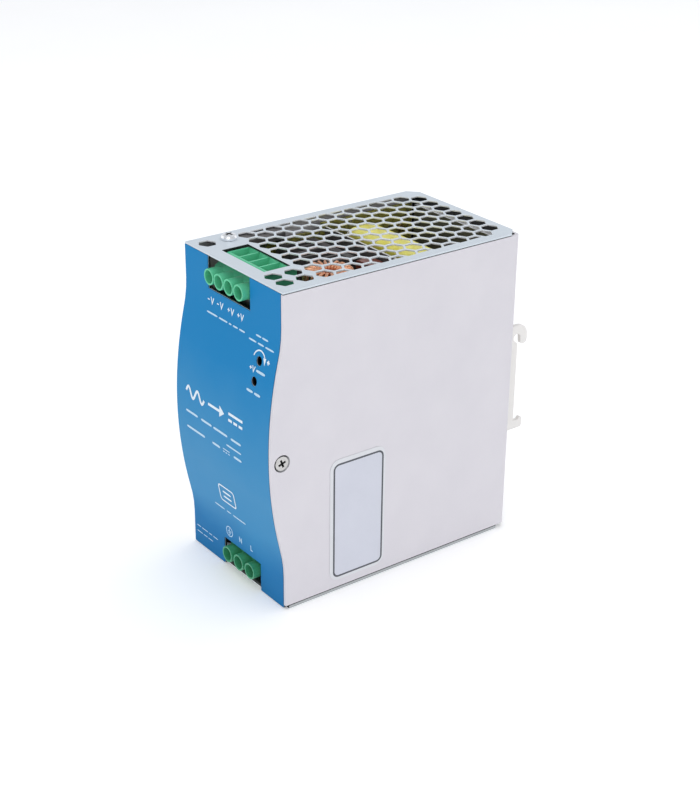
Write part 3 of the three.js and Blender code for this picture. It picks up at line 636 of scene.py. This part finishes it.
def wound(name, node, axis, c, ri, ro, h, turns, wr, core_mat, gap_turns=0, spread=360, start=0):
    """ring core with one wire wound round it, in the place of the CAD ring"""
    frame_axis = {"z": (Vector((1, 0, 0)), Vector((0, 1, 0)), Vector((0, 0, 1))), "x": (Vector((0, 1, 0)), Vector((0, 0, 1)), Vector((1, 0, 0)))}[axis]
    U, V, W_ = frame_axis
    C = P(*c)
    mm = 0.001
    v, f = [], []

    def at(r, ang, z):
        return C + (U * math.cos(ang) + V * math.sin(ang)) * r * mm + W_ * z * mm

    # wire
    a, b, hh, cr = ri + wr * 0.6, ro - wr, h / 2 - wr, 1.5
    prof = []
    for cx, cz, a0 in ((b - cr, -hh + cr, -90), (b - cr, hh - cr, 0), (a + cr, hh - cr, 90), (a + cr, -hh + cr, 180)):
        for i in range(5):
            t = math.radians(a0 + 22.5 * i)
            prof.append((cx + cr * math.cos(t), cz + cr * math.sin(t)))
    m = len(prof)
    total = []
    for k in range(turns):
        for j, (r, z) in enumerate(prof):
            ang = math.radians(start + spread * (k + j / m) / turns)
            jit = 0.07 * math.sin(k * 2.4 + j * 0.3)
            total.append(at(r + jit * 0.4, ang + jit * 0.03, z + jit * 0.5))
    tube_into(v, f, total, wr * mm, 8, closed=False)
    wire_faces = len(f)
    # core
    co = []
    a, b, hh, cr = ri + wr * 2.1, ro - wr * 2.1, h / 2 - wr * 2.1, 0.9
    for cx, cz, a0 in ((b - cr, -hh + cr, -90), (b - cr, hh - cr, 0), (a + cr, hh - cr, 90), (a + cr, -hh + cr, 180)):
        for i in range(4):
            t = math.radians(a0 + 30 * i)
            co.append((cx + cr * math.cos(t), cz + cr * math.sin(t)))
    seg = 48
    base = len(v)
    for i in range(seg):
        for r, z in co:
            v.append(at(r, 2 * math.pi * i / seg, z))
    q = len(co)
    for i in range(seg):
        for j in range(q):
            f.append((base + i * q + j, base + ((i + 1) % seg) * q + j, base + ((i + 1) % seg) * q + (j + 1) % q, base + i * q + (j + 1) % q))
    me = bpy.data.meshes.new(name)
    me.from_pydata(v, [], f)
    me.materials.append(MAT["copper_wire"])
    me.materials.append(MAT[core_mat])
    for i, p in enumerate(me.polygons):
        p.use_smooth = True
        p.material_index = 0 if i < wire_faces else 1
    o = bpy.data.objects.new(name, me)
    bpy.context.scene.collection.objects.link(o)
    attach(o, "case")
    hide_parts(node)
    return o


wound("output_choke_wound", "output_choke", "z", (12.2, 33, 112.4), 3.6, 9.5, 18.0, 22, 0.62, "core_green")
wound("pfc_choke_wound", "pfc_choke", "x", (-17.6, 42, 32), 5, 13.5, 15, 34, 0.55, "core_green")
wound("common_mode_choke_wound", "common_mode_choke", "x", (-19.6, 20, 60), 4.2, 10, 12, 26, 0.5, "ferrite")

# ---------------------------------------------------------------- stage
def plane(name, z, size, mat):
    me = bpy.data.meshes.new(name)
    s = size / 2
    me.from_pydata([(-s, -s, z), (s, -s, z), (s, s, z), (-s, s, z)], [], [(0, 1, 2, 3)])
    o = bpy.data.objects.new(name, me)
    bpy.context.scene.collection.objects.link(o)
    me.materials.append(mat)
    return o


fl = Nodes("floor")
fl.set(Base_Color=fl.ramp(fl.noise(8, 2), [(0.3, (0.94, 0.94, 0.945)), (0.7, (0.96, 0.96, 0.965))]), Roughness=0.75)
fl.b.inputs["Emission Color"].default_value = (1, 1, 1, 1)
fl.b.inputs["Emission Strength"].default_value = 0.18
floor = plane("floor", -0.0002, 60, fl.m)


def area(name, loc, target, size, power, color=(1, 1, 1), size_y=None):
    d = bpy.data.lights.new(name, "AREA")
    d.shape = "RECTANGLE"
    d.size = size
    d.size_y = size_y or size
    d.energy = power
    d.color = color
    o = bpy.data.objects.new(name, d)
    bpy.context.scene.collection.objects.link(o)
    o.location = loc
    o.rotation_euler = (Vector(target) - Vector(loc)).to_track_quat("-Z", "Y").to_euler()
    return o


mid = (0, 0, 0.06)
area("key", (0.75, -0.75, 1.0), mid, 0.9, 3.0)
area("fill", (-0.9, -0.6, 0.5), mid, 0.9, 1.1)
area("side", (1.1, 0.35, 0.45), mid, 0.9, 1.1)
area("back", (-0.2, 1.1, 0.8), mid, 0.9, 1.2)
area("top", (0.0, 0.1, 1.3), mid, 0.7, 2.6)

world = bpy.data.worlds.new("studio")
bpy.context.scene.world = world
world.use_nodes = True
bg = world.node_tree.nodes["Background"]
# a cove: brightest towards the horizon
wt = world.node_tree
wc = wt.nodes.new("ShaderNodeTexCoord")
wz = wt.nodes.new("ShaderNodeSeparateXYZ")
wr = wt.nodes.new("ShaderNodeValToRGB")
we = wr.color_ramp.elements
we.new(0.5)
for e_, (pos, c_) in zip(we, ((0.0, (0.97, 0.98, 1.0)), (0.16, (0.97, 0.98, 1.0)), (0.42, (0.65, 0.665, 0.685)))):
    e_.position = pos
    e_.color = (*c_, 1)
wt.links.new(wc.outputs["Generated"], wz.inputs[0])
wt.links.new(wz.outputs["Z"], wr.inputs[0])
wt.links.new(wr.outputs[0], bg.inputs[0])
bg.inputs[1].default_value = 1.0

# ---------------------------------------------------------------- camera
az, el, roll, dist, tx, ty, f = 52.936, 25.354, 0.615, 606.90, -1.89, 2.63, 1583.0
a, e, r = math.radians(az), math.radians(el), math.radians(roll)
back = Vector((math.sin(a) * math.cos(e), -math.cos(a) * math.cos(e), math.sin(e)))
right = Vector((math.cos(a), math.sin(a), 0))
up = back.cross(right)
r1 = right * math.cos(r) + up * math.sin(r)
u1 = -right * math.sin(r) + up * math.cos(r)
C = Vector((0, 50, 62.6)) + r1 * -tx + u1 * -ty + back * dist
cam_data = bpy.data.cameras.new("camera")
cam = bpy.data.objects.new("camera", cam_data)
bpy.context.scene.collection.objects.link(cam)
cam.matrix_world = Matrix(((r1.x, u1.x, back.x, 0), (r1.y, u1.y, back.y, 0), (r1.z, u1.z, back.z, 0), (0, 0, 0, 1)))
cam.location = P(*C)
cam_data.sensor_fit = "AUTO"
cam_data.sensor_width = 36
cam_data.lens = f * 36 / 800
cam_data.clip_start = 0.01
bpy.context.scene.camera = cam
bpy.context.scene.view_settings.view_transform = "Standard"
